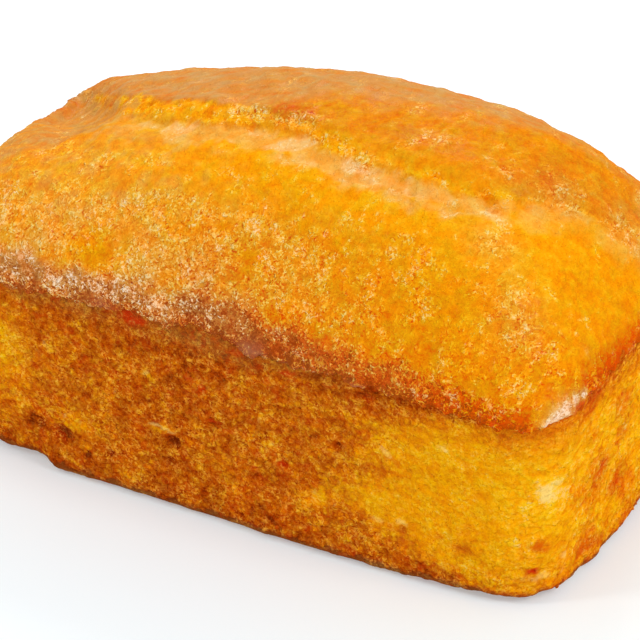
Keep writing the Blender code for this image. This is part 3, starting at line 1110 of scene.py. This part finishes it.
    # How light it is, with painted shade and highlights; painted sheen and pale share; strength and gloss
    tone = 0.60 - 0.08 * shoulder * (1.0 - 0.6 * left * front) + 0.04 * ragged
    tone = tone - 0.07 * ease(-22.0, -33.0, y) * ease(-16.0, 12.0, x)
    tone = tone - 0.05 * far_left * ease(8.0, 0.0, away) * ease(-36.0, -20.0, y)
    tone = tone + pale * (0.03 + 0.12 * patch) + 0.05 * bare - 0.10 * scarp_shadow - 0.10 * rear
    tone = tone + torn * rear * (0.14 * ease(4.0, 16.0, x) - 0.05) + 0.12 * rear_sheen * streak
    tone = tone + marks(x + jitter, y - jitter, TOP_TONES) * on_top
    paler = marks(x - jitter, y + jitter, TOP_PALES)
    paler = np.minimum(paler, 0.14) * smooth_step(0.03, 0.09, paler + 0.04 * blotch)
    tone = tone + 0.5 * paler * pale
    # The lip browns towards its edge, with painted shade added at its hem where it tucks under
    tone = tone - lip * (0.25 - 0.15 * left + 0.15 * dark_lip) - hem * (0.08 + 0.14 * left)
    # Named painted highlights and dark spots on the front of the lip
    tone = tone + marks(x + jitter, z + 0.6 * jitter, LIP_HIGHLIGHTS_AND_TONES) * on_front
    # Painted highlight at the lip's near corner, and painted glints on its shoulder
    tone = tone + 0.7 * corner_highlight + 0.12 * corner_glints
    # Painted sheen and glints on the lip and the front's speckles, painted highlights, and pale patches
    dry = 0.9 * lip * lip_left * (1.0 - 0.5 * hem) + (0.14 + 0.16 * ragged) * left * low_front
    dry = dry + 0.3 * lip * (1.0 - lip_left) * lip_middle
    dry = dry + pale * (0.02 + 0.2 * patch + 1.6 * paler) * (1.0 - 0.6 * dust)
    dry = dry + 1.2 * corner_highlight + 0.25 * glints + 0.35 * corner_glints
    # Grey-violet painted sheen low on the front lip
    ash = np.clip(marks(x + jitter, z + 0.5 * jitter, GREY_SHEEN_MARKS) * on_front, 0.0, 0.8)
    lip_contrast = 0.74 * lip_left + 0.22 * lip_middle * (1.0 - lip_left) - 0.10
    contrast = 0.85 + 0.12 * speckle + lip * lip_contrast
    contrast = contrast * (1.0 - 0.2 * np.maximum(pale, rear_sheen)) + 0.3 * bare
    gloss = 0.008 + 0.06 * rear_sheen + 0.06 * lip * left + 0.5 * corner_highlight + 0.1 * glints
    return {
        "tone": tone,
        "contrast": contrast + 0.2 * corner_highlight,
        "dry": np.clip(dry, 0.0, 1.0),
        "speckle": speckle,
        "gloss": np.clip(gloss, 0.0, 0.8),
        "dust": dust,
        "brown": brown,
        "ash": ash,
        "bare": bare,
        "pale": pale,
    }


def crust_relief(points, turn, masks, look):
    """Height of the crust's relief along its normals: swells, lumps, pebbles and pits."""
    x, y, _ = points.T
    shown = 1.0 - smooth_step(0.85, 1.0, turn)
    swell = look.swell * layered_noise(points, 14.0, 2, 31)
    lump = look.lump * layered_noise(warp(points, 5.0, 1.2, 41), 4.0, 2, 44)
    rough = 0.6 + 0.6 * masks["speckle"] + 0.5 * masks["pale"] + 1.4 * masks["bare"]
    rough = rough + 1.4 * np.minimum(turn * 3.0, 1.0)
    pebble = look.pebble * (noise(points, 1.7, 51) + 0.7 * noise(points, 1.0, 52))
    pits = scattered_pits(points, 6.0, 0.35, 0.9, 0.16, 61)
    named = bowls(x, y, TOP_PITS) * (turn < TOP_TURN)
    # Painted shade in the pits, and painted light on the raised pebbles
    masks["tone"] -= 0.45 * np.clip(pits * 1.5, 0.0, 1.0)
    masks["tone"] += 0.05 * np.clip(pebble / look.pebble, -1.0, 1.0)
    return (swell + lump + pebble * rough - 0.45 * MM * pits - named) * shown


def crust_piece(size, look):
    """The whole crust: domed top, split, and the lip that rolls over the walls."""
    points, quads, triangles, turn = crust_rows(size, look)
    normals = vertex_normals(points, quads)
    masks = crust_masks(points, turn, size)
    points = points + normals * crust_relief(points, turn, masks, look)[:, None]
    shown = {name: masks[name] for name in CRUST_MASKS}
    return add_piece("top_crust", points, quads, triangles, shown, crust_material(look))


# ---------------------------------------------------------------- crumb

# The rounded outline's length as a share of its rectangle's, and the rings of the base as shares of its edge
ROUNDED_SHARE = 0.93
BASE_RINGS = (0.93, 0.82, 0.66, 0.44, 0.2)
# The front wall's marks and pits are shown before this place across the loaf
FRONT_FROM = -20.0 * MM
# The masks that the crumb's material reads
CRUMB_MASKS = ("tone", "rough", "red", "pale", "dull")
# Seed of the draws that place the stray crumbs, and the rings of each: points round it, and how many
STRAY_SEED = 7
STRAY_TURNS = 7
STRAY_BELTS = 4


def crumb_material(look):
    """Crumb baked against the tin: granular and toasted at the left, smoother and yellow at the right.

    Each grain is painted lighter in its middle and darker in its redder gaps: painted light and shade.
    Short pale strokes over the grains are painted glints, with strokes of painted shade beside them.
    """
    shade = Shade("tin_side_crumb")
    tone, rough, red, pale, dull = map(shade.mask, CRUMB_MASKS)
    clouds = shade.grain(6.0, 2.0)
    patches = shade.grain(2.3, 1.0, 0.4)
    blush = shade.grain(2.9, 1.0, 0.8).between(0.55, 0.66) * rough
    fine = shade.grain(0.5, 1.0, 0.4, 0.7)
    reach = shade.pebbles(1.45, 0.9)
    gaps = reach.between(0.25, 0.7)
    light, dark = shade.strokes(1.5, 0.13)
    small_light, small_dark = shade.strokes(0.95, 0.15)
    cluster = (clouds * 0.5 + patches * 0.5).between(0.44, 0.60)
    shown = 0.3 + cluster * 0.9
    # Painted glint strokes with strokes of painted shade beside them
    strokes = (light * 0.10 + small_light * 0.14 - dark * 0.12 - small_dark * 0.10) * shown
    # Random tone, with painted shade in the gaps between the grains
    shift = (clouds - 0.5) * 0.40 + (patches - 0.5) * 0.46 + (fine - 0.5) * 0.4 - gaps * 0.12 + 0.06
    value = tone + (shift + strokes) * (0.4 + 0.6 * rough)
    colour = shade.ramp(
        value, look.gap, look.rust, look.toasted, look.honey, look.yellow, look.butter, look.cream
    )
    # Olive brown painted shade under the lip, and the same colour at the very foot
    colour = shade.mix(colour, look.dull, dull * (0.5 + cluster * 0.5))
    colour = shade.mix(colour, look.red, red * 0.9 + blush * 0.25)
    warmth = shade.grain(3.2, 2.0, 0.5).between(0.38, 0.62) * (0.1 + 0.9 * rough)
    warmth = warmth + (1.0 - rough) * 0.45
    colour = shade.tint(colour, REDDER, YELLOWER, warmth)
    # Painted glints: thin pale strokes over the grains
    wall_glint = (light * 0.2 + small_light * 0.3) * (0.25 + 0.75 * rough) * shown
    colour = shade.mix(shade.mix(colour, look.wall_glint, wall_glint), look.cream, pale)
    glint = (fine + (patches - 0.5) * 0.5).between(0.6, 0.7)
    return shade.finish(
        {
            "Base Color": colour,
            "Roughness": 0.62 - glint * 0.2,
            "Specular IOR Level": 0.0,
            "Coat Weight": glint * 0.06 * rough,
            "Coat Roughness": 0.2,
        },
        [
            (patches, 0.5),
            (1.0 - gaps, 0.2),
            (light, 0.06),
            (fine, 0.14),
        ],
    )


def crumb_rows(size, look):
    """Points and faces of the body under the crust: rings down the wall and round its foot, and poles.

    The wall's top leans in under the lip, and its foot bulges and curls up.
    """
    half_length, half_width = half_rim(size)
    outline = 4.0 * ROUNDED_SHARE * (half_length + half_width)
    count = int(round(outline / look.cell / 4.0)) * 4
    along = int(round(count / 2.0 * half_length / (half_length + half_width)))
    across = count // 2 - along
    side = np.repeat([0, 1, 2, 3], [along, across, along, across])
    run = np.concatenate([np.linspace(-1, 1, n + 1)[:-1] for n in (along, across, along, across)])
    rim_x, rim_y = wall_outline(side, run, size.rim_height, size)
    right = ease(5.0, 50.0, rim_x)
    wall_top = top_height(rim_x, rim_y, size) - lip_radius(rim_x, size) - 0.6 * MM
    base_x, base_y = wall_outline(side, run, 0.0, size)
    swell = foot_swell(base_x, base_y)
    lift = foot_lift(base_x, base_y)
    steps = int(round((size.rim_height - 7.0 * MM) / look.cell))
    rows = []
    for share in np.linspace(0.0, 1.0, steps + 1):
        z = wall_top * (1.0 - share) + size.base_edge * share
        inset = (-0.8 * MM + 0.6 * MM * right) * ease(3.0, 0.0, wall_top - z)
        outer_x, _ = wall_outline(side, run, z, size)
        puff = 1.2 * MM * ease(24.0, 52.0, outer_x) * ease(24.0, 44.0, z)
        foot = swell * ease(16.0, 4.0, z)
        x, y = wall_outline(side, run, z, size, inset + puff + foot)
        rows.append(np.stack([x, y, z + lift * ease(12.0, 4.0, z)], axis=1))
    edge_steps = int(round(size.base_edge * math.pi / 2.0 / look.cell))
    for angle in np.linspace(0.0, math.pi / 2.0, edge_steps + 1)[1:]:
        z = np.full(count, size.base_edge * (1.0 - math.sin(angle)))
        x, y = wall_outline(side, run, z, size, swell - size.base_edge * (1.0 - math.cos(angle)))
        rows.append(np.stack([x, y, z + lift], axis=1))
    for inset in BASE_RINGS:
        base = rows[steps + edge_steps] * (inset, inset, 1.0)
        base[:, 2] *= smooth_step(0.8, 1.0, inset)
        rows.append(base)
    points = np.concatenate(rows)
    rings = np.arange(len(points)).reshape(len(rows), -1)
    poles = np.array([[0.0, 0.0, wall_top.mean()], [0.0, 0.0, 0.0]])
    points = np.concatenate([points, poles])
    top_fan = fan(rings[0], len(points) - 2, True)
    base_fan = fan(rings[-1], len(points) - 1, False)
    return points, ring_quads(rings), np.concatenate([top_fan, base_fan])


def crumb_masks(points):
    """Numbers over the crumb: tone, roughness, and the shares of the red, pale and painted shade looks.

    Tone counts from 0, darkest gap, to 1, palest dab: toasted on the left, painted shade under the lip,
    yellow at the near corner, with brown patches along the foot and darkest at the very foot.
    """
    x, y, z = points.T
    ragged = layered_noise(points, 9.0, 3, 71)
    jitter = 0.7 * MM * layered_noise(points, 2.6, 2, 75)
    edge_wave = z + 0.9 * MM * noise(points, 3.0, 81) - foot_lift(x, y)
    yellow_from = np.interp(z + 2.0 * MM * ragged, YELLOW_EDGE_Z, YELLOW_EDGE_X)
    on_front = y < FRONT_FROM
    spread = np.where(on_front, 9.5 * MM, 20.0 * MM)
    past_edge = x - yellow_from - 10.0 * MM * ease(-10.0, 20.0, y) + 6.0 * MM * ragged
    right = smooth_step(-spread, spread, past_edge)
    corner = near(points, NEAR_CORNER)
    end = ease(64.0, 72.0, x + 3.0 * MM * ragged) * ease(-31.0, -18.0, y)
    # The wall is darker towards the very foot
    edge = ease(3.4, 1.0, edge_wave)
    low = ease(10.0, 3.0, edge_wave)
    under_lip_shade = ease(38.0, 45.0, z + 1.5 * MM * ragged)
    tone = 0.355 + 0.28 * right + 0.10 * corner + 0.04 * ragged - 0.05 * low - 0.50 * edge + 0.05 * end
    # Painted shade under the lip, deeper towards the right
    tone = tone - under_lip_shade * (0.06 + 0.14 * ease(20.0, 50.0, x))
    tone = tone + 1.45 * marks(x + jitter, z + jitter, WALL_TONES) * on_front
    tone = tone - end * (0.10 * ease(9.0, 3.0, edge_wave) + 0.07 * smooth_step(0.0, 0.5, ragged))
    rough = np.clip(1.0 - 0.5 * right + 0.25 * ragged + 0.35 * end + 0.4 * low, 0.25, 1.0)
    edge_noise = layered_noise(points, 1.6, 2, 85)
    red = crisp(marks(x + jitter, z + jitter, RED_MARKS) * on_front, edge_noise)
    end_red = 0.05 + 0.25 * smooth_step(0.0, 0.4, ragged) + marks(y + jitter, z + jitter, END_REDS)
    red = red + end * end_red
    cream = marks(x + jitter, z - jitter, PALE_MARKS) * on_front
    cream = 0.8 * crisp(cream + 0.85 * near(points, CREAM_DABS), edge_noise)
    corner_blush = ease(58.0, 68.0, x) * on_front
    red = red + corner_blush * (0.22 * ease(32.0, 42.0, z) + 0.12 * ease(20.0, 10.0, z))
    # Painted shade in olive brown under the lip, on the left; the darkest foot is joined to it below
    dull = ease(41.0, 48.0, z + 2.5 * MM * ragged) * ease(40.0, 10.0, x)
    return {
        "tone": tone,
        "rough": rough,
        "red": np.clip(red, 0.0, 1.0),
        "pale": np.clip(cream, 0.0, 0.9),
        "dull": np.maximum(0.6 * dull, 0.95 * edge),
    }


def crumb_relief(points, masks, look):
    """Height of the crumb's relief along its normals: swells, lumps, grains, pores and a ragged foot."""
    x, y, z = points.T
    shown = ease(0.05, 1.2, z)
    rough = masks["rough"]
    swell = 0.25 * MM * layered_noise(points, 12.0, 2, 91)
    lump = (0.10 * MM + 0.16 * MM * rough) * layered_noise(warp(points, 4.0, 1.0, 95), 3.4, 2, 98)
    nearest, second = cell_distances(warp(points, 3.0, 0.8, 101), 2.1, 104)
    dome = smooth_step(0.0, 0.4, second - nearest) * (1.0 - 0.7 * nearest**2)
    grain = look.grain * (dome - 0.5) * (0.3 + 0.7 * rough)
    small = scattered_pits(points, 2.8, 0.35, 0.8, 0.4, 111) * rough
    large = scattered_pits(points, 7.0, 0.7, 1.6, 0.3, 121) * rough
    named = bowls(x, z, FRONT_PITS) * (y < FRONT_FROM)
    foot = ease(7.0, 1.5, z)
    ragged = foot * (0.25 * MM * layered_noise(points, 5.0, 2, 131) - 0.1 * MM)
    calm = 1.0 - 0.6 * ease(4.0, 1.0, z)
    # Painted shade in the pores and named pits, painted light on the grains' tops, random tone at the foot
    masks["tone"] -= np.clip(0.14 * small + 0.16 * large + 0.3 * named / MM, 0.0, 0.25)
    masks["tone"] += 0.09 * grain / look.grain + 0.10 * foot * layered_noise(points, 2.2, 2, 135)
    fine = (lump + grain - look.pore * small) * calm
    return (swell + fine - 1.3 * look.pore * large - named + ragged) * shown


def crumb_surface(size, look):
    """Points, faces and masks of the finished body, and its normals before the relief."""
    points, quads, triangles = crumb_rows(size, look)
    normals = vertex_normals(points, quads)
    masks = crumb_masks(points)
    points = points + normals * crumb_relief(points, masks, look)[:, None]
    points[:, 2] = np.maximum(points[:, 2], 0.0)
    return points, quads, triangles, masks, normals


def crumb_piece(size, look):
    """The body under the crust: four drafted walls, rounded corners and the flat base."""
    points, quads, triangles, masks, _ = crumb_surface(size, look)
    return add_piece("crumb_body", points, quads, triangles, masks, crumb_material(look))


def lump_template(turns, belts):
    """Unit ball of rings between two poles: points, quads, and the triangles round the poles."""
    bend = np.linspace(0.0, math.pi, belts + 2)[1:-1]
    around = np.arange(turns) / turns * 2.0 * math.pi
    ring = np.stack([np.cos(around), np.sin(around)], axis=1)
    rows = []
    for angle in bend:
        rows.append(np.column_stack([ring * math.sin(angle), np.full(turns, math.cos(angle))]))
    points = np.concatenate([*rows, [(0.0, 0.0, 1.0), (0.0, 0.0, -1.0)]])
    rings = np.arange(turns * belts).reshape(belts, turns)
    poles = [fan(rings[0], len(points) - 2, True), fan(rings[-1], len(points) - 1, False)]
    return points, ring_quads(rings), np.concatenate(poles)


def stray_crumbs_piece(size, look):
    """Loose crumbs stuck to the walls, most at the foot: half-sunk balls, squashed and dented by noise.

    Each sits on a point of the finished wall picked by a random draw, with a radius of its own.
    """
    points, _, _, masks, normals = crumb_surface(size, look)
    z = points[:, 2]
    chance = 0.1 + 0.6 * ease(8.0, 3.0, z) + 0.6 * masks["rough"] ** 2
    chance = chance * ease(1.6, 2.4, z) * (z < size.rim_height - 9.0 * MM)
    draws = np.random.default_rng(STRAY_SEED)
    picks = draws.choice(len(points), look.stray_count, replace=False, p=chance / chance.sum())
    places, outward = points[picks], normals[picks]
    radius = look.stray_low + (look.stray_high - look.stray_low) * draws.random(len(picks)) ** 2.5
    ball, quads, triangles = lump_template(STRAY_TURNS, STRAY_BELTS)
    squash = 1.0 + draws.uniform(-0.3, 0.35, (len(picks), 3))
    lumps = ball[None] * (radius[:, None] * squash)[:, None]
    lumps = lumps + (places - outward * (0.3 * radius)[:, None])[:, None]
    spots = lumps.reshape(-1, 3)
    ways = (lumps - places[:, None]).reshape(-1, 3)
    spots = spots + ways * 0.7 * noise(spots, 0.8, 151)[:, None]
    spots[:, 2] = np.maximum(spots[:, 2], 0.0)
    steps = (np.arange(len(picks)) * len(ball))[:, None, None]
    quads = (quads[None] + steps).reshape(-1, 4)
    triangles = (triangles[None] + steps).reshape(-1, 3)
    shown = {name: np.repeat(values[picks], len(ball)) for name, values in masks.items()}
    shown["tone"] = shown["tone"] + np.repeat(draws.uniform(-0.02, 0.12, len(picks)), len(ball))
    material = bpy.data.materials["tin_side_crumb"]
    return add_piece("stray_crumbs", spots, quads, triangles, shown, material)


# ---------------------------------------------------------------- studio

# The floor's two whites and its own faint glow
FLOOR_WHITES = ((0.595, 0.655, 0.675), (0.605, 0.665, 0.685))
FLOOR_GLOW = (0.30, 0.312, 0.322)
# Soft suns: name, turn round the loaf and height in degrees, strength, and width of the disc in degrees
SUNS = (
    ("rear_light", 205.0, 38.0, 1.3, 30.0),
    ("right_light", 78.0, 45.0, 1.1, 25.0),
    ("lip_light", -40.0, 48.0, 0.45, 8.0),
)
# Brightness of the surroundings as a light, and as the camera sees them
WORLD_LIGHT = 0.74
WORLD_SEEN = 1.0
# Where the camera looks: height over the floor, and from there right and down in the picture
AIM_HEIGHT = 35.0 * MM
AIM_RIGHT = 1.03 * MM
AIM_DOWN = 2.84 * MM
# Width of the camera's sensor in millimetres, and how far it sees
SENSOR_WIDTH = 36.0
CLIP_END = 20.0


def direction(azimuth, elevation):
    """Unit vector from the loaf out to a place seen at these angles; azimuth 0 is straight in front."""
    level = math.cos(elevation)
    return Vector((math.sin(azimuth) * level, -math.cos(azimuth) * level, math.sin(elevation)))


def add_floor(size):
    """Plain pale floor that the loaf stands on."""
    half = size / 2.0
    corners = [(-half, -half, 0), (half, -half, 0), (half, half, 0), (-half, half, 0)]
    mesh = bpy.data.meshes.new("studio_floor")
    mesh.from_pydata(corners, [], [(0, 1, 2, 3)])
    shade = Shade("studio_floor")
    values = {
        "Base Color": shade.mix(*FLOOR_WHITES, shade.grain(400.0)),
        "Roughness": 0.9,
        "Emission Color": FLOOR_GLOW,
        "Emission Strength": 1.0,
    }
    mesh.materials.append(shade.finish(values))
    floor = link_object("studio_floor", mesh)


def add_sun(name, azimuth, elevation, strength, softness):
    """Distant light from a direction round the loaf, its disc as wide as the softness."""
    light = bpy.data.lights.new(name, "SUN")
    light.energy = strength
    light.angle = math.radians(softness)
    source = direction(math.radians(azimuth), math.radians(elevation))
    link_object(name, light).rotation_euler = source.to_track_quat("Z", "Y").to_euler()


def add_camera(look):
    """Camera at the photograph's angle, looking at the loaf's middle; back, right and up are its axes."""
    back = direction(look.azimuth, look.elevation)
    right = Vector((math.cos(look.azimuth), math.sin(look.azimuth), 0.0))
    up = back.cross(right)
    aim = Vector((0.0, 0.0, AIM_HEIGHT)) + right * AIM_RIGHT - up * AIM_DOWN
    data = bpy.data.cameras.new("studio_camera")
    data.lens = look.lens
    data.sensor_width = SENSOR_WIDTH
    data.clip_end = CLIP_END
    camera = link_object("studio_camera", data)
    turn = Matrix((right, up, back)).transposed().to_4x4()
    camera.matrix_world = Matrix.Translation(aim + back * look.distance) @ turn
    bpy.context.scene.camera = camera


def set_world():
    """White surroundings: one brightness for the light they give, and one for what the camera sees."""
    world = bpy.data.worlds.new("studio_world")
    world.use_nodes = True
    nodes, links = world.node_tree.nodes, world.node_tree.links
    path = nodes.new("ShaderNodeLightPath")
    mix = nodes.new("ShaderNodeMixShader")
    links.new(path.outputs["Is Camera Ray"], mix.inputs["Fac"])
    backgrounds = (nodes["Background"], nodes.new("ShaderNodeBackground"))
    for slot, background, strength in zip((1, 2), backgrounds, (WORLD_LIGHT, WORLD_SEEN)):
        background.inputs["Color"].default_value = (1.0, 1.0, 1.0, 1.0)
        background.inputs["Strength"].default_value = strength
        links.new(background.outputs["Background"], mix.inputs[slot])
    links.new(mix.outputs["Shader"], nodes["World Output"].inputs["Surface"])
    bpy.context.scene.world = world


# ---------------------------------------------------------------- operators


class LOAF_OT_crust(bpy.types.Operator):
    """Make the crust: domed top, split and rolled lip"""

    bl_idname = "loaf.crust"
    bl_label = "Crust"

    def execute(self, context):
        settle(crust_piece(context.scene.loaf_sizes, context.scene.crust_look))
        return {"FINISHED"}


class LOAF_OT_crumb(bpy.types.Operator):
    """Make the body of crumb under the crust"""

    bl_idname = "loaf.crumb"
    bl_label = "Crumb body"

    def execute(self, context):
        settle(crumb_piece(context.scene.loaf_sizes, context.scene.crumb_look))
        return {"FINISHED"}


class LOAF_OT_stray_crumbs(bpy.types.Operator):
    """Stick loose crumbs to the walls, once the body is made"""

    bl_idname = "loaf.stray_crumbs"
    bl_label = "Stray crumbs"

    def execute(self, context):
        settle(stray_crumbs_piece(context.scene.loaf_sizes, context.scene.crumb_look))
        return {"FINISHED"}


class LOAF_OT_studio(bpy.types.Operator):
    """Set up the pale floor, the soft light and the camera"""

    bl_idname = "loaf.studio"
    bl_label = "Studio"

    def execute(self, context):
        look = context.scene.studio_look
        add_floor(look.floor_size)
        for sun in SUNS:
            add_sun(*sun)
        set_world()
        add_camera(look)
        context.scene.view_settings.view_transform = "Standard"
        return {"FINISHED"}


class LOAF_PT_sidebar(bpy.types.Panel):
    """Buttons that make the loaf's pieces"""

    bl_label = "Cornbread Loaf"
    bl_idname = "LOAF_PT_sidebar"
    bl_space_type = "VIEW_3D"
    bl_region_type = "UI"
    bl_category = "Loaf"

    def draw(self, context):
        column = self.layout.column()
        for operator in OPERATORS:
            column.operator(operator.bl_idname)
        for group_name, group in GROUPS:
            for name in group.__annotations__:
                column.prop(getattr(context.scene, group_name), name)


GROUPS = (
    ("loaf_sizes", LoafSizes),
    ("crust_look", CrustLook),
    ("crumb_look", CrumbLook),
    ("studio_look", StudioLook),
)
OPERATORS = (LOAF_OT_crust, LOAF_OT_crumb, LOAF_OT_stray_crumbs, LOAF_OT_studio)


def register():
    """Register the property groups, the operators and the panel."""
    for name, group in GROUPS:
        bpy.utils.register_class(group)
        setattr(bpy.types.Scene, name, PointerProperty(type=group))
    for item in (*OPERATORS, LOAF_PT_sidebar):
        bpy.utils.register_class(item)


def unregister():
    """Undo register."""
    for item in reversed((*OPERATORS, LOAF_PT_sidebar)):
        bpy.utils.unregister_class(item)
    for name, group in reversed(GROUPS):
        delattr(bpy.types.Scene, name)
        bpy.utils.unregister_class(group)


def main():
    """Make every piece and the studio."""
    register()
    bpy.ops.loaf.crust()
    bpy.ops.loaf.crumb()
    bpy.ops.loaf.stray_crumbs()
    bpy.ops.loaf.studio()


if __name__ == "__main__":
    main()
